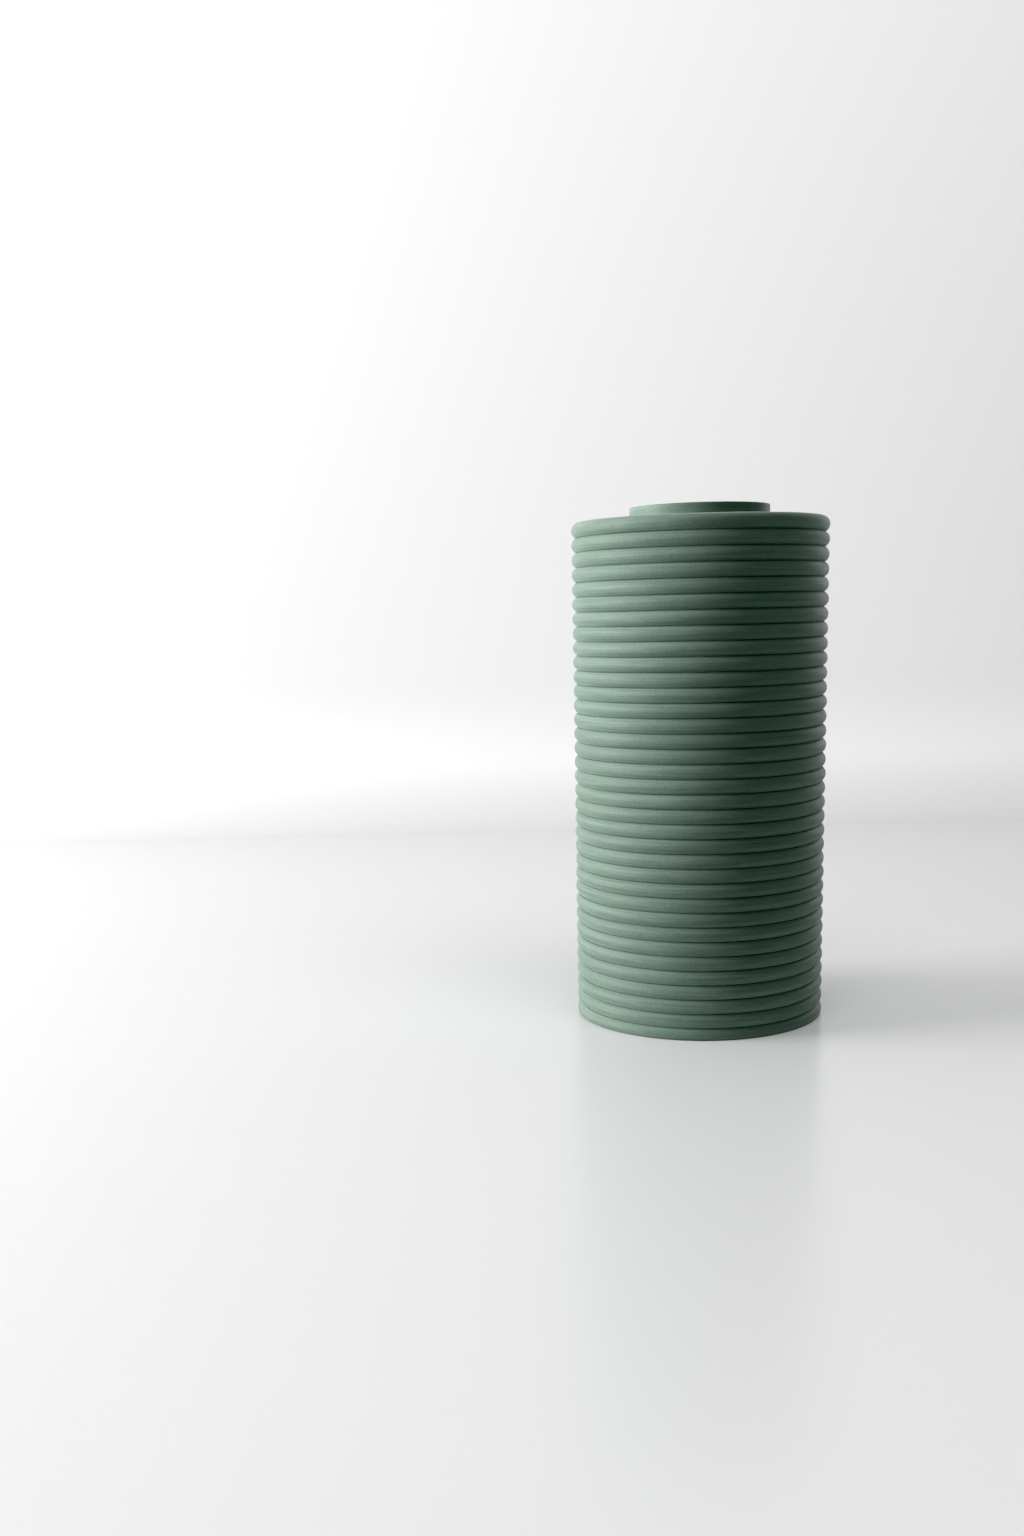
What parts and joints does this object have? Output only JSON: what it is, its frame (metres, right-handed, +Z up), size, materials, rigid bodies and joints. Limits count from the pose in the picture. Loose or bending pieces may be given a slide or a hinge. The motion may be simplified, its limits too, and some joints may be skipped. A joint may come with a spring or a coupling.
{
  "type": "ribbed vase",
  "caption": "Cylindrical stoneware vase of stacked rounded clay coils, with a flat shoulder and a short straight neck, for holding stems in water.",
  "frame": {"origin": "centre of the foot's flat underside, where the vase stands", "axes": "+Z up along the axis of the body, out of the neck; the vase is round, so +X and +Y are any two horizontal directions"},
  "size_m": [0.0994, 0.0994, 0.2],
  "materials": {
    "green_stoneware": "matte, fine combed grain, sage to forest green",
    "liner_glaze": "glossy grey-green liner glaze"
  },
  "bodies": {
    "root": {"foot_slab": "green_stoneware", "coil_ring_01": "green_stoneware", "coil_ring_02": "green_stoneware", "coil_ring_03": "green_stoneware", "coil_ring_04": "green_stoneware", "coil_ring_05": "green_stoneware", "coil_ring_06": "green_stoneware", "coil_ring_07": "green_stoneware", "coil_ring_08": "green_stoneware", "coil_ring_09": "green_stoneware", "coil_ring_10": "green_stoneware", "coil_ring_11": "green_stoneware", "coil_ring_12": "green_stoneware", "coil_ring_13": "green_stoneware", "coil_ring_14": "green_stoneware", "coil_ring_15": "green_stoneware", "coil_ring_16": "green_stoneware", "coil_ring_17": "green_stoneware", "coil_ring_18": "green_stoneware", "coil_ring_19": "green_stoneware", "coil_ring_20": "green_stoneware", "coil_ring_21": "green_stoneware", "coil_ring_22": "green_stoneware", "coil_ring_23": "green_stoneware", "coil_ring_24": "green_stoneware", "coil_ring_25": "green_stoneware", "coil_ring_26": "green_stoneware", "coil_ring_27": "green_stoneware", "coil_ring_28": "green_stoneware", "coil_ring_29": "green_stoneware", "coil_ring_30": "green_stoneware", "coil_ring_31": "green_stoneware", "coil_ring_32": "green_stoneware", "coil_ring_33": "green_stoneware", "shoulder_slab": "green_stoneware", "neck_collar": "green_stoneware", "liner_glaze": "liner_glaze"}
  },
  "joints": []
}
